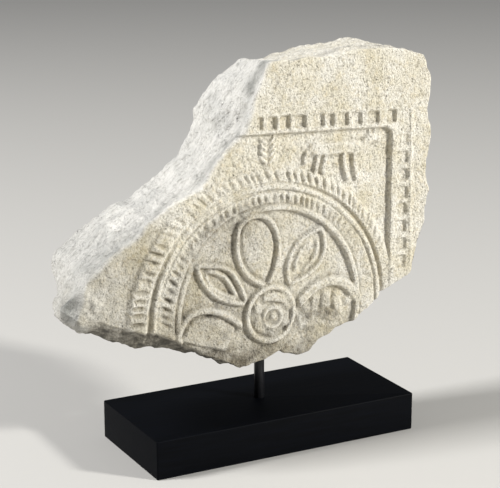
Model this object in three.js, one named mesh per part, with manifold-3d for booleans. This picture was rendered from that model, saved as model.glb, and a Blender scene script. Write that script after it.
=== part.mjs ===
// A fragment of a carved limestone panel, broken on every side. A round steel post holds it
// upright: the post is let into the stone's underside and into a black wooden block.
//
// Millimetres, +Z up. The carved face looks along -Y, and the origin is the middle of the
// block's underside. The stone is drawn in a frame of its own: x from the post's axis, z up
// from the lowest point of the broken edge, and y = 0 midway between its face and its back.

import * as THREE from 'three';
import { mergeVertices } from 'three/addons/utils/BufferGeometryUtils.js';
import Module from 'manifold-3d';

const wasm = await Module();
wasm.setup();

// Block and post
const BLOCK_LENGTH = 280;
const BLOCK_DEPTH = 125;
const BLOCK_HEIGHT = 38;
const BLOCK_CHAMFER = 1;
const POST_DIAMETER = 10;
const POST_CHAMFER = 0.8;
const WOOD_UNDER_POST = 13;
const STONE_CLEARANCE = 49;
const POST_PAST_EDGE = 36;
const SOCKET_GAP = 0.3;
const POST_SIDES = 32;

// Stone
const STONE_WIDTH = 385;
const STONE_HEIGHT = 295;
const SLAB_THICKNESS = 80;
const UNDERSIDE_BEVEL = 19;

// The broken edge of the carved face, from the left tip along the underside, up the right
// side, back along the top and down the long break to the tip. Each row is in percent: x of
// the stone's width, from the post's axis; z of its height; how far the back's edge stands
// outside the face's edge, of the thickness; and how far the bevel drops, of its depth.
const BROKEN_EDGE = [
  [-56.1, 26.1, -20, 79], [-51.9, 22.4, -12, 68], [-46.8, 21.4, -10, 89], [-41.6, 19, -10, 79],
  [-31.2, 14.9, -10, 84], [-26, 11.5, -10, 68], [-20.8, 6.4, -10, 32], [-15.6, 3.1, -8, 16],
  [-10.4, 0, -8, 0], [-2.6, 1.7, -8, 0], [0.8, 3.1, -5, 0], [5.7, 1, -5, 0], [9.1, 1.7, -6, 0],
  [13, 5.8, -8, 0], [20.8, 9.8, -9, 0], [26, 13.9, -10, 0], [29.1, 17.6, -9, 0],
  [33.8, 20.7, -9, 0], [38.2, 23.1, -8, 0], [38.7, 25.8, -8, 0], [39.7, 31.5, -5, 0],
  [40.5, 35.9, -6, 0], [42.9, 42.4, -9, 0], [42.6, 45.8, -5, 0], [43.6, 51.5, -8, 0],
  [42.3, 57.6, -4, 0], [43.9, 68.8, -8, 0], [43.9, 71.9, -8, 0], [42.6, 76.9, -2, 0],
  [43.6, 88.5, -8, 0], [41.6, 92.9, -6, 0], [40.5, 95.3, -5, 0], [36.4, 96.6, -1, 0],
  [31.2, 97.6, 2, 0], [19.5, 100, -4, 0], [15.6, 98.6, -1, 0], [0, 98.3, -15, 0],
  [-2.6, 98.3, -16, 0], [-5.7, 90.8, 0, 0], [-7.8, 83.1, 14, 0], [-9.6, 78.3, 18, 0],
  [-10.1, 75.6, 18, 0], [-13.5, 71.2, 4, 0], [-16.9, 67.1, -4, 0], [-19, 62.4, 2, 0],
  [-24.7, 57.6, 1, 0], [-31.2, 54.2, -2, 0], [-36.4, 48.1, 10, 0], [-43.6, 42.4, 11, 0],
  [-48.8, 36.9, 11, 0], [-51.9, 30.8, -4, 0],
];

// Carving. Depths are measured from the plain border's face.
const GROUND_DEPTH = 5;
const CREST_DEPTH = 0.6;
const FLANK = 1.6;
const WORN = 0.4;
const STROKE_DEPTH = 2.2;
const STROKE_WIDTH = 3.6;
const THIN_LINE = 2.2;
const THIN_LINE_DEPTH = 1.5;

// Frame of the picture: two bars with a row of sunk cells, meeting at the top right corner
const FRAME_INNER_X = 123;
const FRAME_INNER_Z = 217.5;
const FRAME_CORNER_RADIUS = 8;
const TOP_BAR_TILT = 2.2;
const TOP_RAIL = 3;
const UPRIGHT_RAIL = 7;
const CELL_WIDTH = 13;
const OUTER_RAIL = 4;
const CELL_DEPTH = 3.5;
const UPRIGHT_CELLS = 8;
const UPRIGHT_PITCH = 17.3;
const UPRIGHT_RUNG = 4;
const UPRIGHT_START = 14.5;

// Cells of the top bar, cut by eye: how far each middle lies left of the corner, and its width
const TOP_CELLS = [
  [1, 10], [21.5, 12], [39, 9], [55, 11], [68.5, 7], [82, 12], [101, 11], [117.5, 10],
  [131, 9], [144.5, 6],
];

// Rosette: bands about one middle, each given by the radius of its crest and its width
const ROSETTE_X = -9.5;
const ROSETTE_Z = 49.5;
const LEAF_BAND_RADIUS = 136.5;
const LEAF_BAND_WIDTH = 19;
const LEAF_PITCH = 8.4;
const PLAIN_RING_RADIUS = 121.5;
const PLAIN_RING_WIDTH = 7;
const ROPE_BAND_RADIUS = 112.3;
const ROPE_BAND_WIDTH = 10.5;
const ROPE_PITCH = 7.6;
const LEAF_SLANT = [2, 38];
const ROPE_SLANT = [-24, 30];
const INNER_RING_RADIUS = 102.5;
const INNER_RING_WIDTH = 7;
const INNER_RING_SQUEEZE = 0.94;
const BAND_SIDES = 80;

// Boss in the middle of the rosette
const BOSS_X = 2;
const BOSS_Z = -1.5;
const BOSS_RING_RADIUS = 26;
const BOSS_RING_WIDTH = 6.5;
const BOSS_INNER_RADIUS = 10.5;
const BOSS_INNER_WIDTH = 5;
const BOSS_BEAD_RADIUS = 4.6;
const BOSS_SIDES = 40;

// Petals, each a rimmed oval. Foot is [gap from the boss's ring, degrees] and tip is [gap from
// the inner ring, degrees]; left and right are its widest bulges, seen from foot to tip, as
// shares of its length; belly is where along it they lie; round is 1 for a pointed end and
// less for a blunter one.
const PETAL_RIM = 6.5;
const PETAL_FLOOR_DEPTH = 3.2;
const VEIN_WIDTH = 10;
const VEIN_FROM_FOOT = 9;
const VEIN_FROM_TIP = 12;
const VEIN_DEPTH = 1.4;
const OVAL_POINTS = 36;
const PETALS = [
  { foot: [0, 104], tip: [3.5, 99], left: 0.31, right: 0.31, belly: 0.55, round: 0.72, vein: false },
  { foot: [2, 154], tip: [2.5, 142], left: 0.23, right: 0.19, belly: 0.5, round: 1, vein: true },
  { foot: [5, 199], tip: [5.5, 188], left: 0.28, right: 0.33, belly: 0.5, round: 0.9, vein: false },
  { foot: [6, 47], tip: [9.5, 54], left: 0.2, right: 0.23, belly: 0.5, round: 1, vein: true },
  { foot: [6, 6], tip: [4.5, 2], left: 0.3, right: 0.26, belly: 0.55, round: 0.8, vein: false },
];

// Animal in the corner between rosette and frame: lines of [x, z] about the middle of its back
const ANIMAL_X = 62;
const ANIMAL_Z = 202;
const BODY_WIDTH = 11.6;
const NECK_WIDTH = 8.8;
const LIMB_WIDTH = 4.4;
const TAIL_WIDTH = 3.4;
const EAR_WIDTH = 1.7;
const BODY = [[-21, 1], [-2, 0], [22, -1.5]];
const NECK = [[22, -3], [34, 1], [42, 4]];
const LIMBS = [
  [[-19, 0], [-20.5, -12], [-22, -26]],
  [[-11, -3], [-12, -14], [-13, -22]],
  [[9, -4], [9.5, -20], [14, -32]],
  [[20, -5], [21, -20], [23, -34]],
];
const TAIL = [[-25, 2], [-33, -3], [-35, -13]];
const EARS = [[[37, 7], [36, 13]], [[42, 7], [44, 13]]];

// Branch at the animal's left: pairs of leaves that rise from a stem line
const BRANCH_X = -10;
const BRANCH_LOW = 190;
const BRANCH_PITCH = 7;
const BRANCH_LEAVES = 4;
const BRANCH_REACH = 9;
const BRANCH_RISE = 7;
const BRANCH_DEPTH = 1.6;

// Derived places
const FACE_Y = -SLAB_THICKNESS / 2;
const OUTSIDE = -GROUND_DEPTH;
const ROOT_DEPTH = GROUND_DEPTH + FLANK;
const WORN_CREST = CREST_DEPTH + WORN;
const FAR_LEFT = -STONE_WIDTH;
const FAR_DOWN = -STONE_CLEARANCE;
const stoneBottom = BLOCK_HEIGHT + STONE_CLEARANCE;
const rosette = new THREE.Vector2(ROSETTE_X, ROSETTE_Z);
const boss = new THREE.Vector2(ROSETTE_X + BOSS_X, ROSETTE_Z + BOSS_Z);
const upright = new THREE.Vector2(0, 1);

// Finishes
const limestone = new THREE.MeshStandardMaterial({ color: '#d8d1bd', roughness: 0.95, flatShading: true });
const blackSteel = new THREE.MeshStandardMaterial({ color: '#141517', roughness: 0.45, metalness: 0.6 });
const blackWood = new THREE.MeshStandardMaterial({ color: '#101116', roughness: 0.5 });

// Booleans on closed meshes

// Turns a mesh the right way out: its signed volume is positive when faces point outwards.
function facingOut(geometry) {
  const { position } = geometry.attributes;
  const index = geometry.index.array;
  const [a, b, c] = [new THREE.Vector3(), new THREE.Vector3(), new THREE.Vector3()];
  let volume = 0;
  for (let i = 0; i < index.length; i += 3) {
    a.fromBufferAttribute(position, index[i]);
    b.fromBufferAttribute(position, index[i + 1]);
    c.fromBufferAttribute(position, index[i + 2]);
    volume += a.dot(b.cross(c));
  }
  if (volume < 0) geometry.setIndex(Array.from(index).reverse());
  return geometry;
}

function solid(geometry) {
  const bare = geometry.clone();
  bare.deleteAttribute('normal');
  bare.deleteAttribute('uv');
  const merged = facingOut(mergeVertices(bare, 1e-4));
  return new wasm.Manifold(new wasm.Mesh({
    numProp: 3,
    vertProperties: new Float32Array(merged.attributes.position.array),
    triVerts: new Uint32Array(merged.index.array),
  }));
}

function geometryOf(manifold) {
  const { vertProperties, triVerts } = manifold.getMesh();
  const geometry = new THREE.BufferGeometry();
  geometry.setAttribute('position', new THREE.BufferAttribute(new Float32Array(vertProperties), 3));
  geometry.setIndex(Array.from(triVerts));
  geometry.computeVertexNormals();
  return geometry;
}

const joined = (solids) => solids.reduce((whole, part) => whole.add(part));

// Lofts

// Triangles that close a ring: a fan for up to four points, else cut in the ring's x and z.
function capOf(ring) {
  if (ring.length <= 4) return ring.slice(2).map((_, i) => [0, i + 1, i + 2]);
  return THREE.ShapeUtils.triangulateShape(ring.map((p) => new THREE.Vector2(p.x, p.z)), []);
}

// A closed mesh through rings that have equally many points.
function loft(rings) {
  const count = rings[0].length;
  const faces = [];
  for (let ring = 0; ring < rings.length - 1; ring += 1) {
    for (let i = 0; i < count; i += 1) {
      const here = ring * count + i;
      const next = ring * count + ((i + 1) % count);
      faces.push(here, next, next + count, here, next + count, here + count);
    }
  }
  const last = (rings.length - 1) * count;
  // The wall runs ring to ring, so the first cap is turned over and the last is not.
  const turned = ringRunsWithCap(rings[0]);
  for (const [i, j, k] of capOf(rings[0])) faces.push(...(turned ? [i, k, j] : [i, j, k]));
  for (const [i, j, k] of capOf(rings.at(-1))) {
    faces.push(...(turned ? [last + i, last + j, last + k] : [last + i, last + k, last + j]));
  }
  const geometry = new THREE.BufferGeometry();
  const positions = rings.flat().flatMap((p) => [p.x, p.y, p.z]);
  geometry.setAttribute('position', new THREE.Float32BufferAttribute(positions, 3));
  geometry.setIndex(faces);
  return geometry;
}

// True when the cap's triangles run the same way round as the ring itself.
function ringRunsWithCap(ring) {
  if (ring.length <= 4) return true;
  const [i, j, k] = capOf(ring)[0];
  const area = (p, q, r) => (q.x - p.x) * (r.z - p.z) - (q.z - p.z) * (r.x - p.x);
  const ringArea = ring.reduce((sum, p, n) => {
    const q = ring[(n + 1) % ring.length];
    return sum + p.x * q.z - q.x * p.z;
  }, 0);
  return area(ring[i], ring[j], ring[k]) * ringArea > 0;
}

// A flat loop of [x, z] points, laid at a depth below the face.
const atDepth = (loop, depth) => loop.map((p) => new THREE.Vector3(p.x, FACE_Y + depth, p.y));

// Something left standing: a low outline in the ground and a crest outline above it.
const raised = (low, crest, crestDepth) => (
  solid(loft([atDepth(low, ROOT_DEPTH), atDepth(crest, crestDepth)]))
);

// Something sunk: an outline at the crest, carried on outwards, and a floor outline below it.
const sunk = (mouth, floor, floorDepth) => solid(loft([atDepth(mouth, OUTSIDE), atDepth(floor, floorDepth)]));

// The unit direction to the left of the way from one point to another.
function leftOf(from, to) {
  return to.clone().sub(from).normalize().rotateAround(new THREE.Vector2(), Math.PI / 2);
}

// A section carried along a path of points: each row is an offset to the left and a depth.
function swept(path, section) {
  return solid(loft(path.map((here, i) => {
    const side = leftOf(path[Math.max(i - 1, 0)], path[Math.min(i + 1, path.length - 1)]);
    return section.flatMap(([offset, depth]) => atDepth([here.clone().addScaledVector(side, offset)], depth));
  })));
}

// A rounded bar: narrow at its crest and wider where it meets the ground.
function ridge(path, width, crestDepth) {
  return swept(path, [
    [-width / 2 - FLANK, ROOT_DEPTH], [-width / 4, crestDepth],
    [width / 4, crestDepth], [width / 2 + FLANK, ROOT_DEPTH],
  ]);
}

// A thin cut with a V section, open above the face.
function incision(path, width, floorDepth) {
  return swept(path, [[-width, -floorDepth], [0, floorDepth], [width, -floorDepth]]);
}

// A pointed chisel cut from one point to another, deepest in the middle.
function stroke(from, to, width, surfaceDepth) {
  const middle = from.clone().lerp(to, 0.5);
  const side = leftOf(from, to);
  const lift = STROKE_DEPTH / 2;
  const spread = 1 + lift / STROKE_DEPTH;
  const pointed = 0.92;
  const mouth = [
    from.clone().sub(middle).multiplyScalar(spread).add(middle),
    middle.clone().addScaledVector(side, (-width / 2) * spread),
    to.clone().sub(middle).multiplyScalar(spread).add(middle),
    middle.clone().addScaledVector(side, (width / 2) * spread),
  ];
  const point = mouth.map((p) => p.clone().lerp(middle, pointed));
  return solid(loft([atDepth(mouth, surfaceDepth - lift), atDepth(point, surfaceDepth + STROKE_DEPTH)]));
}

// Slab

const faceEdge = BROKEN_EDGE.map(([x, z]) => (
  new THREE.Vector2((x / 100) * STONE_WIDTH, (z / 100) * STONE_HEIGHT)
));

// Outward direction at each point of the broken edge, between its two neighbouring sides. The
// edge runs round against the clock, so outwards is to the right of the way along it.
function edgeNormal(i) {
  const count = faceEdge.length;
  return leftOf(faceEdge[(i + 1) % count], faceEdge[(i + count - 1) % count]);
}

// The outline at a depth: the bevel has dropped as far as it reaches, the rest leans evenly.
function slabOutline(depth) {
  const bevelled = Math.min(depth, UNDERSIDE_BEVEL);
  return BROKEN_EDGE.map(([, , lean, drop], i) => (
    faceEdge[i].clone()
      .addScaledVector(edgeNormal(i), (lean / 100) * depth)
      .addScaledVector(upright, (-drop / 100) * bevelled)
  ));
}

function roughSlab() {
  const depths = [0, UNDERSIDE_BEVEL, SLAB_THICKNESS];
  return solid(loft(depths.map((depth) => atDepth(slabOutline(depth), depth))));
}

// Frame

// Height of the top bar's inner edge at x, on its slight tilt.
const topBarSlope = Math.tan(THREE.MathUtils.degToRad(TOP_BAR_TILT));
const topBarEdge = (x) => FRAME_INNER_Z + (FRAME_INNER_X - x) * topBarSlope;

// The sunk ground: everything below the top bar and left of the upright, with a round corner.
function groundOutline(inset) {
  const right = FRAME_INNER_X - inset;
  const radius = FRAME_CORNER_RADIUS;
  const corner = new THREE.Vector2(right - radius, topBarEdge(right) - inset - radius);
  const arc = [0, 1, 2, 3, 4].map((step) => {
    const turn = (step / 4) * (Math.PI / 2);
    return corner.clone().add(new THREE.Vector2(Math.cos(turn), Math.sin(turn)).multiplyScalar(radius));
  });
  return [
    new THREE.Vector2(FAR_LEFT, FAR_DOWN), new THREE.Vector2(right, FAR_DOWN), ...arc,
    new THREE.Vector2(FAR_LEFT, topBarEdge(FAR_LEFT) - inset),
  ];
}

// A rectangular cell of a width and height at the face, narrower at its floor.
function cell(x, z, width, height) {
  const corners = (grow) => [[-1, -1], [1, -1], [1, 1], [-1, 1]].map(([right, up]) => (
    new THREE.Vector2(x + right * (width / 2 + grow), z + up * (height / 2 + grow))
  ));
  return sunk(corners(0), corners(-FLANK), CELL_DEPTH);
}

function frameCells() {
  const top = TOP_CELLS.map(([left, width]) => {
    const x = FRAME_INNER_X - left;
    return cell(x, topBarEdge(x) + TOP_RAIL + CELL_WIDTH / 2, width, CELL_WIDTH);
  });
  const x = FRAME_INNER_X + UPRIGHT_RAIL + CELL_WIDTH / 2;
  const side = Array.from({ length: UPRIGHT_CELLS }, (_, i) => (
    cell(x, FRAME_INNER_Z - UPRIGHT_START - i * UPRIGHT_PITCH, CELL_WIDTH, UPRIGHT_PITCH - UPRIGHT_RUNG)
  ));
  return joined([...top, ...side]);
}

// The fine line that parts the frame from the plain border.
function frameLine() {
  const x = FRAME_INNER_X + UPRIGHT_RAIL + CELL_WIDTH + OUTER_RAIL;
  const rise = TOP_RAIL + CELL_WIDTH + OUTER_RAIL;
  const line = [
    new THREE.Vector2(x, FAR_DOWN), new THREE.Vector2(x, topBarEdge(x) + rise - THIN_LINE),
    new THREE.Vector2(x - THIN_LINE, topBarEdge(x) + rise),
    new THREE.Vector2(FAR_LEFT, topBarEdge(FAR_LEFT) + rise),
  ];
  return incision(line, THIN_LINE, THIN_LINE_DEPTH);
}

// Rosette

// A band turned about a middle, flat on top with sloping flanks.
function band(radius, width, crestDepth, sides, middle, squeeze = 1) {
  const low = FACE_Y + ROOT_DEPTH;
  const crest = FACE_Y + crestDepth;
  const profile = [
    [radius - width / 2 - FLANK / 2, low], [radius - width / 2 + FLANK / 2, crest],
    [radius + width / 2 - FLANK / 2, crest], [radius + width / 2 + FLANK / 2, low],
    [radius - width / 2 - FLANK / 2, low],
  ].map(([r, y]) => new THREE.Vector2(r, y));
  const turned = new THREE.LatheGeometry(profile, sides);
  turned.scale(squeeze, 1, 1);
  turned.translate(middle.x, 0, middle.y);
  return solid(turned);
}

// A point of the rosette: radius, and degrees from the right, counted up and over.
function aboutRosette(radius, degrees) {
  const turn = THREE.MathUtils.degToRad(degrees);
  return new THREE.Vector2(Math.cos(turn), Math.sin(turn)).multiplyScalar(radius).add(rosette);
}

// Slanting chisel strokes over the upper half of a band. The slant, in degrees from the way to
// the middle, goes from its value at the left end to its value at the right end.
function bandStrokes(radius, width, pitch, [slantLeft, slantRight]) {
  const count = Math.round((Math.PI * radius) / pitch);
  return joined(Array.from({ length: count + 1 }, (_, i) => {
    const middle = aboutRosette(radius, (180 * i) / count);
    const slant = THREE.MathUtils.lerp(slantRight, slantLeft, i / count);
    const turn = (Math.PI * i) / count + THREE.MathUtils.degToRad(slant);
    const half = new THREE.Vector2(Math.cos(turn), Math.sin(turn)).multiplyScalar(width / 2 - WORN);
    return stroke(middle.clone().sub(half), middle.clone().add(half), STROKE_WIDTH, WORN_CREST);
  }));
}

// An oval from foot to tip, made larger or smaller all round by grow. Half of its points run
// up the right side and half back down the left; the bulge is a sine that peaks at the belly.
function oval({ foot, tip, left, right, belly, round }, grow) {
  const from = aboutRosette(BOSS_RING_RADIUS + foot[0], foot[1]);
  const to = aboutRosette(INNER_RING_RADIUS - tip[0], tip[1]);
  const length = from.distanceTo(to);
  const along = to.clone().sub(from).normalize();
  const side = leftOf(from, to);
  const sharpReach = 1.6;
  const reach = grow * THREE.MathUtils.lerp(1, sharpReach, round);
  from.addScaledVector(along, -reach);
  to.addScaledVector(along, reach);
  const power = Math.log(0.5) / Math.log(belly);
  return Array.from({ length: OVAL_POINTS }, (_, i) => {
    const turn = (2 * Math.PI * i) / OVAL_POINTS;
    const share = (1 - Math.cos(turn)) / 2;
    const bulge = Math.sin(Math.PI * share ** power) ** round;
    const reachOut = turn < Math.PI ? -(right * length + grow) : left * length + grow;
    return from.clone().lerp(to, share).addScaledVector(side, reachOut * Math.max(bulge, 0));
  });
}

// A rimmed petal: a raised oval with a shallow dish in it.
function petal(shape) {
  const rim = PETAL_RIM / 2;
  const body = raised(oval(shape, rim + FLANK), oval(shape, rim - FLANK), CREST_DEPTH);
  const dish = sunk(oval(shape, 2 * FLANK - rim), oval(shape, -rim - FLANK), PETAL_FLOOR_DEPTH);
  return body.subtract(dish);
}

// The small leaf in a petal, left standing between two lines.
function petalVein(shape) {
  const inner = {
    ...shape, left: 0, right: 0,
    foot: [shape.foot[0] + VEIN_FROM_FOOT, shape.foot[1]],
    tip: [shape.tip[0] + VEIN_FROM_TIP, shape.tip[1]],
  };
  return raised(oval(inner, VEIN_WIDTH / 2 + FLANK), oval(inner, VEIN_WIDTH / 2 - FLANK), VEIN_DEPTH);
}

function rosetteRelief() {
  const bands = [
    band(LEAF_BAND_RADIUS, LEAF_BAND_WIDTH, WORN_CREST, BAND_SIDES, rosette),
    band(PLAIN_RING_RADIUS, PLAIN_RING_WIDTH, CREST_DEPTH, BAND_SIDES, rosette),
    band(ROPE_BAND_RADIUS, ROPE_BAND_WIDTH, WORN_CREST, BAND_SIDES, rosette),
    band(INNER_RING_RADIUS, INNER_RING_WIDTH, CREST_DEPTH, BAND_SIDES, rosette, INNER_RING_SQUEEZE),
  ];
  return joined([...bands, ...PETALS.map(petal), ...PETALS.filter(({ vein }) => vein).map(petalVein)]);
}

function bossRelief() {
  const bead = new THREE.SphereGeometry(BOSS_BEAD_RADIUS, BOSS_SIDES / 2, BOSS_SIDES / 4);
  bead.translate(boss.x, FACE_Y + CREST_DEPTH + BOSS_BEAD_RADIUS, boss.y);
  return joined([
    band(BOSS_RING_RADIUS, BOSS_RING_WIDTH, CREST_DEPTH, BOSS_SIDES, boss),
    band(BOSS_INNER_RADIUS, BOSS_INNER_WIDTH, CREST_DEPTH, BOSS_SIDES / 2, boss),
    solid(bead),
  ]);
}

// Animal and branch

function animal() {
  const part = (line, width) => (
    ridge(line.map(([x, z]) => new THREE.Vector2(ANIMAL_X + x, ANIMAL_Z + z)), width, CREST_DEPTH)
  );
  return joined([
    part(BODY, BODY_WIDTH), part(NECK, NECK_WIDTH), part(TAIL, TAIL_WIDTH),
    ...LIMBS.map((limb) => part(limb, LIMB_WIDTH)), ...EARS.map((ear) => part(ear, EAR_WIDTH)),
  ]);
}

function branch() {
  const leaves = [];
  for (let i = 0; i < BRANCH_LEAVES; i += 1) {
    const root = new THREE.Vector2(BRANCH_X, BRANCH_LOW + i * BRANCH_PITCH);
    for (const reach of [-BRANCH_REACH, BRANCH_REACH]) {
      const tip = root.clone().add(new THREE.Vector2(reach, BRANCH_RISE));
      leaves.push(ridge([root, tip], THIN_LINE, BRANCH_DEPTH));
    }
  }
  return joined(leaves);
}

// Pieces

function carvedStone() {
  const relief = joined([rosetteRelief(), bossRelief(), animal(), branch()]);
  const ground = sunk(groundOutline(-FLANK), groundOutline(FLANK), GROUND_DEPTH).subtract(relief);
  const socketRadius = POST_DIAMETER / 2 + SOCKET_GAP;
  const socket = postCylinder(socketRadius, FAR_DOWN, POST_PAST_EDGE + SOCKET_GAP, 0);
  return roughSlab()
    .subtract(ground)
    .subtract(frameCells())
    .subtract(frameLine())
    .subtract(bandStrokes(LEAF_BAND_RADIUS, LEAF_BAND_WIDTH, LEAF_PITCH, LEAF_SLANT))
    .subtract(bandStrokes(ROPE_BAND_RADIUS, ROPE_BAND_WIDTH, ROPE_PITCH, ROPE_SLANT))
    .subtract(socket);
}

// An upright cylinder about the post's axis, with chamfered ends.
function postCylinder(radius, bottom, top, chamfer) {
  const profile = [
    [0, bottom], [radius - chamfer, bottom], [radius, bottom + chamfer],
    [radius, top - chamfer], [radius - chamfer, top], [0, top],
  ].map(([r, z]) => new THREE.Vector2(r, z));
  const turned = new THREE.LatheGeometry(profile, POST_SIDES);
  turned.rotateX(Math.PI / 2);
  return solid(turned);
}

// A block with every edge chamfered, standing on z = 0.
function chamferedBlock(length, depth, height, chamfer) {
  const [x, y] = [length / 2 - chamfer, depth / 2 - chamfer];
  const corners = [[-x, -y], [x, -y], [x, y], [-x, y]].map((p) => new THREE.Vector2(...p));
  const geometry = new THREE.ExtrudeGeometry(new THREE.Shape(corners), {
    depth: height - 2 * chamfer, bevelSegments: 1, bevelSize: chamfer, bevelThickness: chamfer,
  });
  geometry.translate(0, 0, chamfer);
  return solid(geometry);
}

function named(name, manifold, material) {
  const mesh = new THREE.Mesh(geometryOf(manifold), material);
  mesh.name = name;
  return mesh;
}

const postBottom = WOOD_UNDER_POST;
const postTop = stoneBottom + POST_PAST_EDGE;
const blockSocket = postCylinder(
  POST_DIAMETER / 2 + SOCKET_GAP, postBottom - SOCKET_GAP, BLOCK_HEIGHT + POST_DIAMETER, 0,
);

const block = chamferedBlock(BLOCK_LENGTH, BLOCK_DEPTH, BLOCK_HEIGHT, BLOCK_CHAMFER).subtract(blockSocket);
const post = postCylinder(POST_DIAMETER / 2, postBottom, postTop, POST_CHAMFER);

const stone = named('relief_panel', carvedStone(), limestone);
stone.position.z = stoneBottom;

const panelOnStand = new THREE.Group();
panelOnStand.add(stone, named('post', post, blackSteel), named('base_block', block, blackWood));

export default panelOnStand;
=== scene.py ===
# %% [markdown]
# # A broken stone relief on its stand
#
# The real object is a fragment of a carved limestone panel, about 38 cm wide, that a round
# steel post holds over a black wooden block. The CAD model settles its places and sizes. This
# file gives it its looks: the worn carving, the rough breaks and the finishes.

# %% Load the fixed frame
import math

import bpy
import numpy as np
from mathutils import Matrix, Vector


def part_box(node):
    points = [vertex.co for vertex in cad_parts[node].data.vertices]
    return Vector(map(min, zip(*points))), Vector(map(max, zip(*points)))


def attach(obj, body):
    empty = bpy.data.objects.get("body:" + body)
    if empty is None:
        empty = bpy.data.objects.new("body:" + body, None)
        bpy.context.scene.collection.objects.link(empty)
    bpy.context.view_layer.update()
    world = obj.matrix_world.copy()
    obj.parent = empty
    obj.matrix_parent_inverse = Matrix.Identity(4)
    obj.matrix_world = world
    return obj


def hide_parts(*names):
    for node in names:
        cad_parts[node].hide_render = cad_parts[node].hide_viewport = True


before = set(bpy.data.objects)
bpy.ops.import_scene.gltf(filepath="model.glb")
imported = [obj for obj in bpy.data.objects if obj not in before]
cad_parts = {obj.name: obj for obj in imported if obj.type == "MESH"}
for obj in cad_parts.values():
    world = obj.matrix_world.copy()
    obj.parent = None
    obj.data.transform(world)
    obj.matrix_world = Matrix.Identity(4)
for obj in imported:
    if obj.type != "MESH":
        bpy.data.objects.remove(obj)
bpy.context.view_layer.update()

# %% [markdown]
# ## Roughness
#
# Stone is uneven at every size: hollows as wide as a hand, chips, and grains. A sculptor could
# model each by hand. Here a function of place gives a smooth random number, so that the same
# place always gets the same bump and neighbouring surfaces meet without a seam.


# %% A random number for every place
def lattice(cell, seed):
    """A number from -1 to 1 for each whole-numbered point: its coordinates are multiplied by
    large primes and added, and the bits of the sum are mixed twice."""
    mixed = cell @ np.array([374761393, 668265263, 1274126177]) + seed * 2246822519
    mixed = mixed & 0xFFFFFFFF
    mixed = ((mixed ^ (mixed >> 13)) * 1274126177) & 0xFFFFFFFF
    return ((mixed ^ (mixed >> 16)) & 0xFFFF) / 32767.5 - 1


def turned(points, seed):
    """The points turned about z, x and y by angles that differ from seed to seed, so that the
    cubes of the noise never line up with the panel."""
    for axis, angle in ((2, 0.9 + seed), (0, 0.6 + 1.7 * seed), (1, 0.4 + 2.3 * seed)):
        first, second = (axis + 1) % 3, (axis + 2) % 3
        spin = np.eye(3)
        spin[first, first] = spin[second, second] = math.cos(angle)
        spin[first, second] = -math.sin(angle)
        spin[second, first] = math.sin(angle)
        points = points @ spin
    return points


def roughness(points, size, seed):
    """Value noise: space is cut into cubes of a size in mm, each corner has its own number, and
    a place blends its cube's eight corners by the curve 6t^5 - 15t^4 + 10t^3 in each axis."""
    place = turned(points, seed) / size
    low = np.floor(place).astype(np.int64)
    t = place - low
    t = t * t * t * (t * (t * 6 - 15) + 10)
    total = np.zeros(points.shape[:-1])
    for corner in np.ndindex(2, 2, 2):
        weight = np.prod(np.where(corner, t, 1 - t), axis=-1)
        total += weight * lattice(low + np.array(corner), seed)
    return total


def dishes(points, size, seed):
    """The hollows of a break: each cube of a size in mm holds one random centre, and a place
    gets the least of the squared distances to the centres around it, each raised by a random
    amount. That gives shallow bowls, from 0 in a bowl's middle up to sharp ridges between."""
    place = turned(points, seed) / size
    low = np.floor(place).astype(np.int64)
    least = np.full(points.shape[:-1], 9.0)
    for step in np.ndindex(3, 3, 3):
        cube = low + np.array(step) - 1
        centre = cube + 0.5 + 0.45 * np.stack([lattice(cube, seed + n) for n in (1, 2, 3)], axis=-1)
        raised = 0.25 * lattice(cube, seed + 4)
        least = np.minimum(least, ((place - centre) ** 2).sum(axis=-1) + raised)
    return least


def smooth(t):
    """The S curve 3t^2 - 2t^3 from 0 to 1, flat at both ends."""
    t = np.clip(t, 0, 1)
    return t * t * (3 - 2 * t)


print("Roughness at the origin:", round(float(roughness(np.zeros((1, 3)), 10, 1)[0]), 3))

# %% [markdown]
# ## The broken outline
#
# The panel broke off all round, so its outline is a long irregular line. It could be drawn with
# hundreds of points. The CAD model's corner points are enough here: they are joined, rounded a
# little, and then roughened by the noise, as chips do on the real edge.

# %% Corner points of the carved face's edge
STONE_FOOT = 87.0
SLAB_THICKNESS = 80.0
FACE_Y = -SLAB_THICKNESS / 2
BEVEL_DEPTH = 19.0

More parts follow.
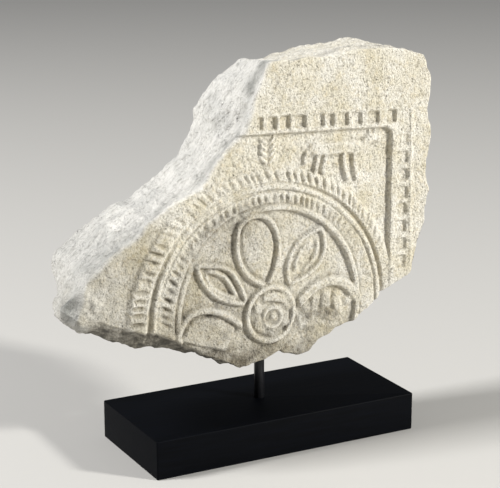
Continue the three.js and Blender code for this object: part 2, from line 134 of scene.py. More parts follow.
# Millimetres: x, height over the stone's foot, how far the back's edge stands outside the face's
# edge (less than 0 is inside), and how far the underside's bevel drops behind the face. From
# the left tip counterclockwise.
EDGE_CORNERS = np.array([
    [-215, 77, -21, 11], [-200, 66, -17, 11], [-180, 63, -8, 17], [-160, 55, -8, 17],
    [-120, 43, -8, 18], [-100, 32, -8, 15], [-80, 18, -8, 8], [-60, 9, -6, 3], [-40, -2, -6, 0],
    [-9, 2, -6, 0], [3, 9, -4, 0], [22, 1, -4, 0], [36, 3, -5, 0], [51, 15, -6, 0],
    [82, 26, -7, 0], [102, 38, -8, 0], [114, 49, -7, 0], [131, 60, -7, 0], [148, 67, -6, 0],
    [149, 76, -6, 0], [154, 93, -4, 0], [156, 106, -5, 0], [165, 125, -7, 0],
    [164, 135, -4, 0], [168, 152, -6, 0], [163, 170, -3, 0], [169, 203, -6, 0],
    [169, 212, -6, 0], [164, 227, -2, 0], [168, 261, -6, 0], [161, 277, -5, 0],
    [157, 285, -3, 0], [140, 291, -1, 0], [120, 294, 0, 0], [75, 295, -6, 0],
    [60, 291, -2, 0], [0, 290, -17, 0], [-10, 290, -15, 0], [-22, 268, 0, 0],
    [-30, 245, 14, 0], [-37, 231, 13, 0], [-39, 223, 15, 0], [-52, 210, 6, 0],
    [-65, 198, -3, 0], [-73, 184, 7, 0], [-95, 170, 4, 0], [-120, 160, -4, 0],
    [-140, 142, 9, 0], [-168, 125, 9, 0], [-188, 110, 11, 0], [-201, 93, -5, 0],
], float)
TURNING_POINTS = [0, 19, 31, 37]  # left tip, lower right, upper right and upper left corner
print("Edge drawn through", len(EDGE_CORNERS), "corner points")


# %% One closed line, rounded and chipped
def softened(values, spread):
    """Values round a closed line, averaged with their neighbours under a bell curve that is
    spread steps wide. Its product with the line's waves is taken by a Fourier transform."""
    waves = np.fft.rfft(values, axis=0)
    rate = np.arange(len(waves))[:, None] / len(values)
    return np.fft.irfft(waves * np.exp(-2 * (math.pi * rate * spread) ** 2), len(values), axis=0)


EDGE_STEP = 0.25
closed = np.vstack([EDGE_CORNERS, EDGE_CORNERS[:1]])
lengths = np.hypot(*np.diff(closed[:, :2], axis=0).T)
travelled = np.concatenate([[0], np.cumsum(lengths)])
edge_count = int(travelled[-1] / EDGE_STEP)
edge_at = np.arange(edge_count) * travelled[-1] / edge_count
edge = np.stack([np.interp(edge_at, travelled, column) for column in closed.T], axis=1)
edge[:, :2] = softened(edge[:, :2], 2.0 / EDGE_STEP)
edge[:, 2:] = softened(edge[:, 2:], 7.0 / EDGE_STEP)

along = np.roll(edge[:, :2], -2, axis=0) - np.roll(edge[:, :2], 2, axis=0)
edge_normal = np.stack([along[:, 1], -along[:, 0]], axis=1)
edge_normal /= np.linalg.norm(edge_normal, axis=1)[:, None]
edge_place = np.stack([edge[:, 0], np.zeros(edge_count), edge[:, 1]], axis=1)
chips = 1.3 * roughness(edge_place, 13, 3) + 0.7 * roughness(edge_place, 5, 4)
edge[:, :2] += edge_normal * chips[:, None]
edge[:, 1] += STONE_FOOT
print("Edge of the carved face:", round(travelled[-1]), "mm round,", edge_count, "points")

# %% [markdown]
# ## A grid over the carved face
#
# The face needs an even net of points that ends exactly on the broken edge. A remesh could give
# one, but with no order in it. A Coons patch does it with a formula: each point is blended from
# the four sides of the outline, so columns and rows run smoothly from edge to edge.

# %% Four sides of the outline and the patch between them
COLUMNS = 520
ROWS = 340
stops = [int(round(travelled[i] / travelled[-1] * edge_count)) for i in TURNING_POINTS]


def side(first, last, count):
    """The edge's rows from one stop to the next, at count + 1 evenly spaced places."""
    place = np.linspace(first, last, count + 1)
    ring = np.vstack([edge, edge[:1]])
    return np.stack([np.interp(place, np.arange(edge_count + 1), column) for column in ring.T], 1)


lower = side(stops[0], stops[1], COLUMNS)
right = side(stops[1], stops[2], ROWS)
upper = side(stops[2], stops[3], COLUMNS)[::-1]
left = side(stops[3], edge_count, ROWS)[::-1]

u = np.linspace(0, 1, COLUMNS + 1)[:, None, None]
v = np.linspace(0, 1, ROWS + 1)[None, :, None]
between_rows = (1 - v) * lower[:, None, :2] + v * upper[:, None, :2]
between_columns = (1 - u) * left[None, :, :2] + u * right[None, :, :2]
corners = (
    (1 - u) * (1 - v) * lower[0, :2] + u * (1 - v) * lower[-1, :2]
    + (1 - u) * v * upper[0, :2] + u * v * upper[-1, :2]
)
patch = between_rows + between_columns - corners
X, Z = patch[..., 0], patch[..., 1]
face_place = np.stack([X, np.zeros_like(X), Z], axis=-1)
spacing = np.hypot(*(patch[1:, ROWS // 2] - patch[:-1, ROWS // 2]).T).mean()
print("Face grid:", X.shape, "spacing about", round(float(spacing), 2), "mm")

# %% [markdown]
# ## Tools for carving
#
# A carver works with a few strokes: ridges left standing and grooves cut in. Each becomes a
# formula of the distance to a line. The relief is one height over the ground for every point of
# the grid, and each stroke raises or lowers it.


# %% Lines and their distance
def flowing(points, closed_line=False, steps=6):
    """A Catmull-Rom curve: between two points it is the cubic whose direction at each of them
    is half of the way from the point before to the point after."""
    points = np.array(points, float)
    if closed_line:
        ring = np.vstack([points[-1:], points, points[:2]])
    else:
        ring = np.vstack([2 * points[:1] - points[1:2], points, 2 * points[-1:] - points[-2:-1]])
    p0, p1, p2, p3 = ring[:-3, None], ring[1:-2, None], ring[2:-1, None], ring[3:, None]
    t = (np.arange(steps) / steps)[None, :, None]
    curve = 0.5 * (2 * p1 + (p2 - p0) * t + (2 * p0 - 5 * p1 + 4 * p2 - p3) * t ** 2
                   + (3 * p1 - p0 - 3 * p2 + p3) * t ** 3)
    return np.vstack([curve.reshape(-1, 2), ring[-2:-1]])


def near_line(line, reach):
    """Distance in mm from each point of the face to a line, and the share of the line's length
    that lies before the nearest place. Each stretch looks only at the points within reach."""
    line = np.asarray(line, float)
    stretch = np.hypot(*np.diff(line, axis=0).T)
    before = np.concatenate([[0], np.cumsum(stretch)]) / stretch.sum()
    distance = np.full(X.shape, float(reach))
    share = np.zeros(X.shape)
    for (x0, z0), (x1, z1), s0, s1 in zip(line[:-1], line[1:], before[:-1], before[1:]):
        near = np.nonzero((X > min(x0, x1) - reach) & (X < max(x0, x1) + reach)
                          & (Z > min(z0, z1) - reach) & (Z < max(z0, z1) + reach))
        px, pz = X[near] - x0, Z[near] - z0
        dx, dz = x1 - x0, z1 - z0
        t = np.clip((px * dx + pz * dz) / (dx * dx + dz * dz), 0, 1)
        gap = np.hypot(px - t * dx, pz - t * dz)
        closer = gap < distance[near]
        spot = tuple(index[closer] for index in near)
        distance[spot] = gap[closer]
        share[spot] = (s0 + t * (s1 - s0))[closer]
    return distance, share


def inside(loop):
    """True for the points of the face inside a closed line: a ray to the right crosses the line
    an odd number of times."""
    loop = np.asarray(loop, float)
    crossings = np.zeros(X.shape, bool)
    for (x0, z0), (x1, z1) in zip(loop, np.roll(loop, -1, axis=0)):
        if z0 != z1:
            crosses = (z0 > Z) != (z1 > Z)
            crossings ^= crosses & (X < x0 + (Z - z0) * (x1 - x0) / (z1 - z0))
    return crossings


print("Three points make a curve of", len(flowing([(0, 0), (5, 8), (10, 0)])), "points")


# %% Ridges, grooves and cells
def ridge(height, line, half_width, rise, flank=2.0, ends=0.0):
    """Leaves a ridge standing: full height within the half width of the line, an S-shaped flank
    outside it, and with ends more than 0 a height that runs out towards both ends."""
    distance, share = near_line(line, half_width + flank)
    profile = smooth((half_width + flank - distance) / flank)
    if ends:
        profile = profile * smooth(share / ends) * smooth((1 - share) / ends)
    np.maximum(height, rise * profile, out=height)


def groove(height, line, half_width, depth, ends=0.0):
    """Cuts a groove: deepest on the line and S-shaped up to the half width. With ends more than
    0 it narrows and rises towards both ends, as a chisel's cut does."""
    distance, share = near_line(line, half_width)
    taper = 1.0
    if ends:
        taper = np.sqrt(smooth(share / ends) * smooth((1 - share) / ends))
    height -= depth * taper * smooth(1 - distance / np.maximum(half_width * taper, 0.05))


def past_rounded(over_x, over_z, corner):
    """Distance past the edge of a box with rounded corners, less than 0 inside. It is counted
    from the middle of the corner's arc: the straight distance where both ways are past it, else
    the greater of the two, less the arc's radius."""
    straight = np.hypot(np.maximum(over_x, 0), np.maximum(over_z, 0))
    return straight + (np.minimum(np.maximum(over_x, over_z), 0) - corner)


def cell(height, x, z, half_x, half_z, depth, corner=2.0, flank=1.8):
    """Sinks a cell with rounded corners: the depth is an S of the distance from its edge."""
    over_x = np.abs(X - x) - (half_x - corner)
    over_z = np.abs(Z - z) - (half_z - corner)
    height -= depth * smooth(-past_rounded(over_x, over_z, corner) / flank)


relief = np.zeros_like(X)
print("Carving on", relief.size, "points")

# %% [markdown]
# ## The rosette's bands
#
# Two plain rings and two notched bands go round the rosette: an outer band of leaves and an
# inner one like a rope. The notches were cut by eye, and each leans a little. They could be one
# repeated pattern, but then they would look stamped, so every notch gets its own angle.

# %% Polar places round the rosette's middle
ROSETTE = np.array([-9.5, 136.5])
GROUND_DEPTH = 5.0
radius = np.hypot(X - ROSETTE[0], Z - ROSETTE[1])
bearing = np.degrees(np.arctan2(Z - ROSETTE[1], X - ROSETTE[0]))
bearing = np.where(bearing < -90, bearing + 360, bearing)


def by_bearing(*pairs):
    """A value for each point of the face, on straight lines between (degrees, value) pairs."""
    degrees, values = np.array(pairs, float).T
    return np.interp(bearing, degrees, values)


def plateau(low, high, flank_low, flank_high):
    """1 between two radii, with an S-shaped flank inside the lower and outside the higher."""
    rising = smooth((radius - low + flank_low) / flank_low)
    return rising * smooth((high + flank_high - radius) / flank_high)


print("The face reaches", round(float(radius.max())), "mm from the rosette's middle")

# %% Bands and rings, fainter where they are worn
leaf_outer = by_bearing((0, 138.5), (60, 138.5), (110, 140), (135, 143), (160, 145), (180, 146))
leaf_worn = by_bearing(
    (0, 0.9), (25, 0.95), (40, 0.85), (75, 0.8), (100, 0.75), (140, 0.9), (180, 1))
np.maximum(relief, 4.0 * leaf_worn * plateau(128.0, leaf_outer - 2.5, 2.6, 5.5), out=relief)

plain_crest = by_bearing(
    (0, 121), (25, 121), (45, 119.8), (80, 122.5), (110, 123), (150, 120.5), (180, 120))
plain_worn = by_bearing(
    (0, 1), (50, 1), (90, 0.85), (108, 0.5), (128, 0.35), (145, 0.6), (162, 0.95), (180, 1))
plain_ring = plateau(plain_crest - 1.6, plain_crest + 1.4, 2.2, 2.4)
np.maximum(relief, 4.3 * plain_worn * plain_ring, out=relief)

# The inner ring is a slight oval. The gap is roughly the distance in mm outside its line.
OVAL = np.array([-8.0, 137.0])
OVAL_HALF_X = 96.5
OVAL_HALF_Z = 102.5
OVAL_HALF_MEAN = 99
squeezed = np.hypot((X - OVAL[0]) / OVAL_HALF_X, (Z - OVAL[1]) / OVAL_HALF_Z)
inner_gap = (squeezed - 1) * OVAL_HALF_MEAN
rope_worn = by_bearing(
    (0, 0.75), (15, 0.8), (45, 0.7), (80, 0.85), (120, 0.8), (150, 1), (180, 1))
rope = smooth((inner_gap - 3.2) / 1.6) * smooth((116.6 - radius) / 1.8 + 1)
np.maximum(relief, 3.7 * rope_worn * rope, out=relief)

inner_worn = by_bearing(
    (0, 1), (95, 0.95), (106, 0.7), (118, 0.3), (142, 0.35), (156, 0.75), (180, 0.85))
inner_ring = smooth((4.4 - np.abs(inner_gap)) / 2.8)
np.maximum(relief, 4.4 * inner_worn * inner_ring, out=relief)
print("Bands raised to", round(float(relief.max()), 2), "mm over the ground")

# %% Notches of the leaf band and of the rope band
LEAF_NOTCHES = [
    176.5, 173, 170, 167.2, 163.4, 159, 156.3, 151.6, 148.2, 144.2, 139.4, 136.2, 132.2, 128,
    124.6, 121.2, 117.6, 114.2, 111, 107.5, 103.7, 100.6, 98.1, 95.2, 91.2, 87.2, 82, 78.4,
    75.4, 72, 68, 64.4, 60, 56.8, 53.2, 49.8, 46.6, 43.2, 40.4, 36.4, 33.6, 30, 25.4,
]
ROPE_NOTCHES = [
    178.2, 174.2, 170, 165.4, 160.8, 156.4, 152, 148.4, 144.2, 140.8, 137.4, 134, 130.4, 126,
    121.8, 117.4, 113.8, 109.8, 106.6, 103.2, 99.4, 96, 92, 87.7, 84, 80.4, 76.2, 72, 69.2,
    66.2, 62.8, 58.6, 54.4, 50.6, 47.4, 43.2, 39.4, 35, 30.6, 26, 21, 16.4, 11.6, 7,
]


def notch(height, degrees, low, high, slant, half_width, depth):
    """A pointed cut across a band from one radius to another, turned from the way outwards by
    the slant: its ends move sideways by the tangent of the slant times their distance."""
    middle = (low + high) / 2
    reach = (high - low) / 2
    turn = math.radians(degrees)
    outwards = np.array([math.cos(turn), math.sin(turn)])
    sideways = np.array([-outwards[1], outwards[0]]) * math.tan(math.radians(slant))
    centre = ROSETTE + middle * outwards
    line = [centre - reach * (outwards + sideways), centre + reach * (outwards + sideways)]
    groove(height, line, half_width, depth, ends=0.42)


notch_luck = np.random.default_rng(17)
for degrees in LEAF_NOTCHES:
    luck = notch_luck.uniform(-1, 1, 3)
    high = np.interp(degrees, [0, 110, 150, 180], [139, 141, 147, 147.5]) + luck[0]
    depth = np.interp(degrees, [0, 25, 50, 130, 160, 180], [1.8, 2.3, 2.4, 3.0, 3.8, 3.4])
    wide = np.interp(degrees, [0, 90, 130, 160, 180], [2.5, 2.5, 2.7, 3.2, 3.0]) + 0.5 * luck[2]
    slant = np.interp(degrees, [0, 40, 80, 130, 180], [38, 36, 27, 13, 3]) + 4 * luck[1]
    low = np.interp(degrees, [0, 60, 120, 160], [128, 126.5, 127, 128.4]) + 1.2 * luck[1]
    notch(relief, degrees + 0.5 * luck[2], low, high, slant, wide, depth * (1 + 0.25 * luck[0]))
for degrees in ROPE_NOTCHES:
    luck = notch_luck.uniform(-1, 1, 3)
    low = np.interp(degrees, [0, 40, 90, 140, 180], [103, 103, 106.5, 106, 100])
    depth = np.interp(
        degrees, [0, 20, 40, 60, 90, 125, 150, 180], [1.8, 1.4, 1.3, 2.5, 2.6, 2.3, 3.2, 3.0])
    slant = np.interp(degrees, [0, 60, 90, 140, 180], [-24, 28, 4, -14, -28]) + 5 * luck[1]
    wide = 2.7 + 0.4 * luck[2]
    notch(relief, degrees + 0.4 * luck[2], low, 117, slant, wide, depth * (1 + 0.3 * luck[0]))
print(len(LEAF_NOTCHES), "leaf notches and", len(ROPE_NOTCHES), "rope notches")

# %% [markdown]
# ## Petals and boss
#
# Each petal is a rim round a low field or round a small split leaf. The rims are lines on the
# face, drawn through a few points and made into ridges. The boss in the middle is a ring with a
# bead, and lumps between them.

# %% Rims of the five petals
TOP_PETAL = [
    (-16, 165), (-24, 169.5), (-31, 175), (-37, 182.5), (-41, 191), (-43.3, 201), (-43.8, 211),
    (-42.6, 220), (-38, 228), (-30, 232.6), (-20, 233), (-12, 229.5), (-5, 222), (-0.5, 212),
    (1, 201), (-0.5, 190), (-3.5, 179), (-8, 170), (-11, 164),
]
UPPER_LEFT_PETAL = [
    (-37, 149.5), (-47, 152), (-57, 155.5), (-65, 160), (-72, 166.5), (-78, 174), (-82, 182),
    (-84.5, 192), (-76, 191.5), (-66, 190), (-57, 187), (-50, 182), (-44.5, 174), (-39, 164),
    (-34.5, 153),
]
LOWER_LEFT_PETAL = [
    (-50, 101), (-62, 101), (-106, 118), (-103, 131), (-98.5, 139.5), (-91.5, 145.8), (-83, 148),
    (-74, 147.6), (-65, 145.2), (-56, 140.8), (-47, 134.8), (-40, 128.5), (-42, 117), (-47, 108),
]
UPPER_RIGHT_PETAL = [
    (13.5, 163), (11, 171), (10.8, 180), (13.2, 188.5), (17.5, 196), (24, 203), (33, 208),
    (46, 212.5), (50.5, 203), (51.5, 193), (49, 184), (43.5, 176), (35, 170), (24, 165),
]
RIGHT_PETAL = [
    (23, 142), (30, 147.5), (38, 153.2), (47, 157.4), (57, 159), (67, 157.6), (76, 152.6),
    (83, 145.4), (89, 137.5),
]


def petal_field(height, loop, gap, rise):
    """A low domed field inside a rim: it starts a gap inside the rim's line and its height
    grows with the root of the distance from there."""
    distance, _ = near_line(np.vstack([loop, loop[:1]]), 26.0)
    depth_in = np.where(inside(loop), distance, 0) - gap
    dome = smooth(depth_in / 2.2) * (0.82 + 0.18 * smooth(depth_in / 16))
    np.maximum(height, rise * dome, out=height)


top_loop = flowing(TOP_PETAL)
petal_field(relief, top_loop, 4.6, 2.3)
ridge(relief, top_loop, 1.5, 4.4, flank=2.2)
lower_left_loop = flowing(LOWER_LEFT_PETAL)
petal_field(relief, lower_left_loop, 5.2, 3.4)
ridge(relief, flowing(LOWER_LEFT_PETAL[2:12]), 1.9, 4.3, flank=2.5)
for rim, rise in ((UPPER_LEFT_PETAL, 4.3), (UPPER_RIGHT_PETAL, 3.5)):
    ridge(relief, flowing(rim, closed_line=True), 1.2, rise, flank=2.1)
print("Petal rims raised")

# %% Split leaves in the two slim petals, and the damaged petal at the right
UPPER_LEFT_LEAF = [
    [(-77, 186.5), (-74.5, 177), (-68.5, 168.5), (-60, 162), (-50, 157.6), (-42, 154)],
    [(-77, 187), (-66, 183.5), (-57.5, 178.5), (-51.5, 171), (-46.5, 162), (-42, 154)],
]
UPPER_RIGHT_LEAF = [
    [(39, 201), (30, 196.5), (23.5, 190), (19.5, 181.5), (20, 172)],
    [(42, 203), (43.5, 194), (40.5, 185.5), (34, 178), (25, 171)],
]
for leaf, rise in ((UPPER_LEFT_LEAF, 3.6), (UPPER_RIGHT_LEAF, 2.5)):
    for half in leaf:
        ridge(relief, flowing(half), 0.9, rise, flank=2.3, ends=0.12)
groove(relief, flowing([(-74, 185), (-64, 179), (-56, 170), (-47, 158)]), 1.6, 1.2, ends=0.3)

ridge(relief, flowing(RIGHT_PETAL), 3.6, 4.4, flank=2.8)
rim_groove = flowing([(38, 158), (50, 163.4), (62, 165), (73, 161), (80, 155)])
groove(relief, rim_groove, 2.4, 1.3, ends=0.35)
for lump, width, rise in (
    ([(45, 151), (41, 139), (41, 125)], 2.4, 3.7), ([(56, 153), (53, 141), (55, 127)], 2.8, 3.9),
    ([(68, 149), (65, 138), (71, 127)], 2.4, 3.4), ([(76, 141), (80, 131)], 2.0, 3.2),
    ([(24, 133), (29, 124), (31, 113)], 3.0, 3.2), ([(32, 141), (35, 131), (41, 117)], 2.6, 3.0),
    ([(50, 122), (58, 117), (70, 117)], 3.4, 2.8),
):
    ridge(relief, flowing(lump), width, rise, flank=4.4, ends=0.3)
print("Leaves and the damaged petal raised")

# %% The boss
BOSS = np.array([-7.8, 135.0])
BOSS_CLEARED = 31
BEAD = np.array([-5.4, 132.8])
boss_radius = np.hypot(X - BOSS[0], Z - BOSS[1])
relief[boss_radius < BOSS_CLEARED] = np.minimum(relief, 0.4)[boss_radius < BOSS_CLEARED]
turn = np.linspace(0, 2 * math.pi, 73)
ring_line = BOSS + np.stack([24.9 * np.cos(turn), 26.6 * np.sin(turn)], axis=1)
np.maximum(relief, 1.7 * smooth((22.5 - boss_radius) / 3), out=relief)
ridge(relief, ring_line, 1.6, 4.5, flank=2.3)
middle_ring = np.array([-6.0, 131.8]) + 9.8 * np.stack([np.cos(turn), np.sin(turn)], axis=1)
for lump, width, rise in (
    ([(-12, 152), (-4, 151.5), (5, 149)], 3.9, 3.9), ([(8, 147), (11.5, 140)], 3.0, 3.2),
    ([(-22.5, 145.5), (-21, 140.5)], 3.0, 3.4), ([(-21, 131), (-22, 125), (-17, 121)], 3.0, 3.2),
    ([(-6, 116), (1, 115.5)], 3.2, 2.8), ([(8, 132), (8.5, 125)], 3.0, 3.2),
):
    ridge(relief, lump, width, rise, flank=2.0)
groove(relief, [(-15, 149), (-10, 147.4), (-2, 145.8), (4, 143.6)], 1.9, 2.0, ends=0.15)
ridge(relief, middle_ring, 1.1, 4.2, flank=2.0)
bead = np.hypot(X - BEAD[0], Z - BEAD[1])
np.maximum(relief, 4.3 * smooth((5.2 - bead) / 3.2), out=relief)
print("Boss raised")

# %% [markdown]
# ## Frame, animal and branch
#
# A stepped frame with a row of sunk cells closes the picture at the top and at the right. In
# the corner between it and the rosette stand a small animal and a branch. They are ridges and
# grooves again, only finer.

# %% The frame's step and its cells
FRAME_X = 123.0
FRAME_Z = 304.3
FRAME_CORNER = 8.0
TOP_TILT = math.tan(math.radians(2.2))
over_x = X - (FRAME_X - FRAME_CORNER)
over_z = Z - (FRAME_Z + (FRAME_X - X) * TOP_TILT - FRAME_CORNER)
past_frame = past_rounded(over_x, over_z, FRAME_CORNER)
relief = np.maximum(relief, GROUND_DEPTH * smooth((past_frame + 1.4) / 2.6))

TOP_CELLS = [
    (122, 10), (101.5, 12), (84, 9), (68, 11), (54.5, 7), (41, 12), (22, 11), (5.5, 10), (-8, 9),
    (-21.5, 6),
]
cell_luck = np.random.default_rng(5)
for x, width in TOP_CELLS:
    luck = cell_luck.uniform(-1, 1, 2)
    z = FRAME_Z + (FRAME_X - x) * TOP_TILT + 10.2 + 0.5 * luck[0]
    cell(relief, x + 0.5, z, width / 2 + 0.9, 7.0, 3.6 + 0.4 * luck[1], corner=2.6, flank=1.9)
RIGHT_CELLS = [
    (2.0, 2.6), (2.7, 2.6), (3.0, 5.5), (2.7, 3.0), (3.1, 4.6), (3.0, 2.6), (2.7, 2.6), (2.6, 2.4),
]
for count, (sunk_by, rounding) in enumerate(RIGHT_CELLS):
    luck = cell_luck.uniform(-1, 1, 2)
    x = 136.3 + 0.5 * luck[1]
    z = 290.0 - 17.3 * count + 0.7 * luck[0]
    cell(relief, x, z, 6.8 + 0.4 * luck[0], 7.0, sunk_by, corner=rounding, flank=1.9)
FRAME_LINE = [
    (143, 150), (146.6, 163), (148, 178), (147, 195), (145.4, 212), (145.6, 240), (144.9, 262),
    (145.4, 285), (144.8, 305), (144.2, 320),
]
ridge(relief, flowing(FRAME_LINE), 1.0, GROUND_DEPTH + 0.9, flank=1.8)
groove(relief, flowing(np.array(FRAME_LINE) + [4.6, 0]), 3.0, 0.5)
groove(relief, [(143, 326), (60, 329.6), (-40, 333)], 2.4, 0.45)
print("Frame with", len(TOP_CELLS), "and", len(RIGHT_CELLS), "cells")

# %% The animal in the corner
CREATURE_BACK = np.array([62.0, 289.0])
# Each part: its line from the middle of the back, half width, rise, flank and share of the ends.
CREATURE = [
    ([(-22, 1.5), (-12, 0.6), (4, 0.4), (18, -0.6), (25, -1.5)], 4.2, 3.4, 3.6, 0.0),  # body
    ([(23, -3), (29, -0.5), (34, 3), (38, 6)], 2.4, 3.8, 5.0, 0.0),  # neck
    ([(36, 6.5), (41, 6.8), (47, 5.2)], 1.4, 3.4, 4.0, 0.0),  # head
    ([(-18, 1), (-19.5, -8), (-21.5, -18), (-22.5, -27)], 1.5, 3.5, 1.8, 0.08),  # hind legs
    ([(-10, -2), (-11.5, -10), (-13.5, -18), (-12, -25)], 1.5, 3.5, 1.8, 0.08),
    ([(9, -3), (9.5, -14), (11.5, -24), (15, -33)], 1.7, 3.7, 1.8, 0.06),  # forelegs
    ([(21, -4), (21.5, -14), (22.5, -24), (25.5, -34)], 1.8, 3.7, 1.8, 0.06),
    ([(-23, 3), (-29, 0), (-32.5, -5), (-33, -14)], 1.5, 3.2, 1.8, 0.15),  # tail
    ([(36.5, 7), (36.4, 10), (37.4, 13)], 0.6, 2.4, 1.4, 0.0),  # ears
    ([(41, 7), (42, 10), (43.6, 13)], 0.6, 2.4, 1.4, 0.0),
]
for line, half_width, rise, flank, ends in CREATURE:
    ridge(relief, flowing(CREATURE_BACK + line), half_width, rise, flank=flank, ends=ends)
for hollow, width, depth in (
    ([(20, 9), (27, 7.4), (33, 9)], 4.0, 1.0), ([(-36, -2), (-38.5, -8), (-37, -16)], 2.4, 0.9),
):
    groove(relief, flowing(CREATURE_BACK + hollow), width, depth, ends=0.3)
STEM_X = -10.5
for low in (282.5, 288.5, 294.5, 300.5):
    for sideways in (-9.5, 8.0):
        leaf = [(STEM_X + out * sideways, low + up) for out, up in ((0, -1.5), (0.5, 2), (1, 7))]
        ridge(relief, flowing(leaf), 0.7, 2.8, flank=1.7, ends=0.2)
groove(relief, flowing([(-16, 280), (-20, 291), (-20.5, 303)]), 2.2, 0.9, ends=0.3)
print("Animal and branch raised")

# %% [markdown]
# ## Wear and damage
#
# The carving is old: its crests are soft, the ground is uneven, the rim crumbled and one corner
# was knocked off roughly. These are broad changes of height over the whole face, so they are
# sums of the noise at sizes from 45 mm to 2 mm, weighted by where the stone is damaged.

# %% Distance to the broken edge, and the final height of the face
step_u = np.hypot(*np.moveaxis(np.diff(patch, axis=0), -1, 0))
step_v = np.hypot(*np.moveaxis(np.diff(patch, axis=1), -1, 0))
from_left = np.vstack([np.zeros((1, ROWS + 1)), np.cumsum(step_u, axis=0)])
from_low = np.hstack([np.zeros((COLUMNS + 1, 1)), np.cumsum(step_v, axis=1)])
to_edge = np.minimum(
    np.minimum(from_left, from_left[-1:] - from_left),
    np.minimum(from_low, from_low[:, -1:] - from_low),
)


def around(x, z, half_x, half_z):
    """1 at a place, running out to 0 in a bell over an ellipse about it."""
    return np.exp(-((X - x) / half_x) ** 2 - ((Z - z) / half_z) ** 2)


corner_damage = around(-190, 168, 24, 26)
petal_damage = around(50, 122, 34, 24)
lower_wear = around(10, 100, 60, 12) + around(105, 145, 22, 16)
relief *= 1 - 0.3 * np.clip(0.4 * petal_damage + lower_wear, 0, 1)
rubbed = smooth((radius - 96) / 8) * smooth((bearing - 98) / 14) * smooth((152 - bearing) / 14)
relief *= 1 - 0.4 * rubbed * smooth(0.5 + roughness(face_place, 14, 38))
relief += 0.9 * rubbed * roughness(face_place, 5, 39)
uneven = 0.7 * roughness(face_place, 45, 11) + 0.4 * roughness(face_place, 19, 12)
uneven += 0.3 * roughness(face_place, 8, 13) + 0.26 * roughness(face_place, 4, 14)
uneven += 0.22 * roughness(face_place, 2.0, 15)
torn = 1.8 * roughness(face_place, 15, 16) + 1.5 * roughness(face_place, 7, 17)
torn += 0.9 * roughness(face_place, 3.5, 18)
relief[1:-1] = (relief[:-2] + 2 * relief[1:-1] + relief[2:]) / 4
relief[:, 1:-1] = (relief[:, :-2] + 2 * relief[:, 1:-1] + relief[:, 2:]) / 4
damage = np.clip(corner_damage + 0.95 * petal_damage, 0, 1)
past_corner = 0.269 * (Z - 197) - 0.963 * (X + 188) + 1.6 * roughness(face_place, 12, 33)
knocked_off = 0.75 * np.maximum(past_corner, 0) * smooth(past_corner / 7)
height = relief - GROUND_DEPTH + uneven + damage * torn - 1.5 * corner_damage - knocked_off
height -= 1.2 * around(-203, 166, 6, 10) + 1.6 * around(46, 126, 26, 14)
arris = 2.4 + 1.6 * roughness(face_place, 11, 19)
arris_in = np.clip(1 - to_edge / arris, 0, 1)
height -= arris * (1 - np.sqrt(1 - arris_in ** 2)) * 0.9
face = np.stack([X, FACE_Y - height, Z], axis=-1)
print("Face in y from", [round(float(y), 1) for y in (face[..., 1].min(), face[..., 1].max())], "mm")

# %% [markdown]
# ## Broken sides and the back
#
# The sides are fresh breaks and the back is roughly dressed. Both are carried on from the
# face's edge: ring after ring goes back along the thickness, turns over the back's edge and
# closes in on one middle point. The noise then pushes the sides along the outline's own normal
# and the back along y. A push along the surface's normals would fold it where it turns.

# %% Rings from the face's edge over the sides to the back's middle
BACK_MIDDLE = np.array([18.0, 44.0, 195.0])
ring_rows = np.vstack([lower[:-1], right[:-1], upper[:0:-1], left[:0:-1]])
grid_index = np.arange((COLUMNS + 1) * (ROWS + 1)).reshape(COLUMNS + 1, ROWS + 1)
ring_index = np.concatenate([
    grid_index[:-1, 0], grid_index[-1, :-1], grid_index[:0:-1, -1], grid_index[0, :0:-1],
])
ring_face = face.reshape(-1, 3)[ring_index]
ring_along = np.roll(ring_rows[:, :2], -3, axis=0) - np.roll(ring_rows[:, :2], 3, axis=0)
ring_normal = np.stack([ring_along[:, 1], -ring_along[:, 0]], axis=1)
# The lean follows a calmer direction than the chips, or rings would cross at sharp corners.
outwards, lean_way = softened(ring_normal, 20), softened(ring_normal, 70)
outwards /= np.linalg.norm(outwards, axis=1)[:, None]
lean_way /= np.linalg.norm(lean_way, axis=1)[:, None]

around_count = len(ring_index)
around_at = np.arange(around_count)
EASE = 1.6
SIDE_RINGS = 46
BACK_RINGS = 44
BACK_REACH = 130
corner_turn = np.radians([15, 35, 55, 75, 90])
side_depth = (SLAB_THICKNESS - EASE) * np.linspace(0, 1, SIDE_RINGS) ** 1.1
inset = np.concatenate([
    np.zeros(SIDE_RINGS), EASE * (1 - np.cos(corner_turn)), [3.0],
    np.linspace(6, BACK_REACH, BACK_RINGS)])
depth = np.concatenate([
    side_depth, SLAB_THICKNESS - EASE * (1 - np.sin(corner_turn)),
    np.full(BACK_RINGS + 1, SLAB_THICKNESS)])
back_share = np.clip(inset / BACK_REACH, 0, 1) ** 1.1

start = ring_face[:, 1] - FACE_Y
deep = start[None, :] + depth[:, None] * (1 - start[None, :] / SLAB_THICKNESS)
from_tip = np.minimum(around_at, around_count - around_at)
lean_curve = 1 + 1.3 * np.exp(-(from_tip / 45) ** 2)
lean = ring_rows[None, :, 2] * (deep / SLAB_THICKNESS) ** lean_curve
drop = ring_rows[None, :, 3] * smooth(deep / BEVEL_DEPTH * 0.5) * 2
drop = np.minimum(drop, ring_rows[None, :, 3])
rings = np.stack([
    ring_face[None, :, 0] + lean_way[None, :, 0] * lean,
    FACE_Y + deep,
    ring_face[None, :, 2] + lean_way[None, :, 1] * lean - drop,
], axis=-1)
tip = np.exp(-((rings[..., 0] + 192) / 13) ** 2 - ((rings[..., 2] - 200) / 11) ** 2)
rings[..., 0] -= 1.0 * tip * smooth(deep / SLAB_THICKNESS)
rings += (BACK_MIDDLE - rings) * back_share[:, None, None]
print("Rings:", rings.shape[:2])


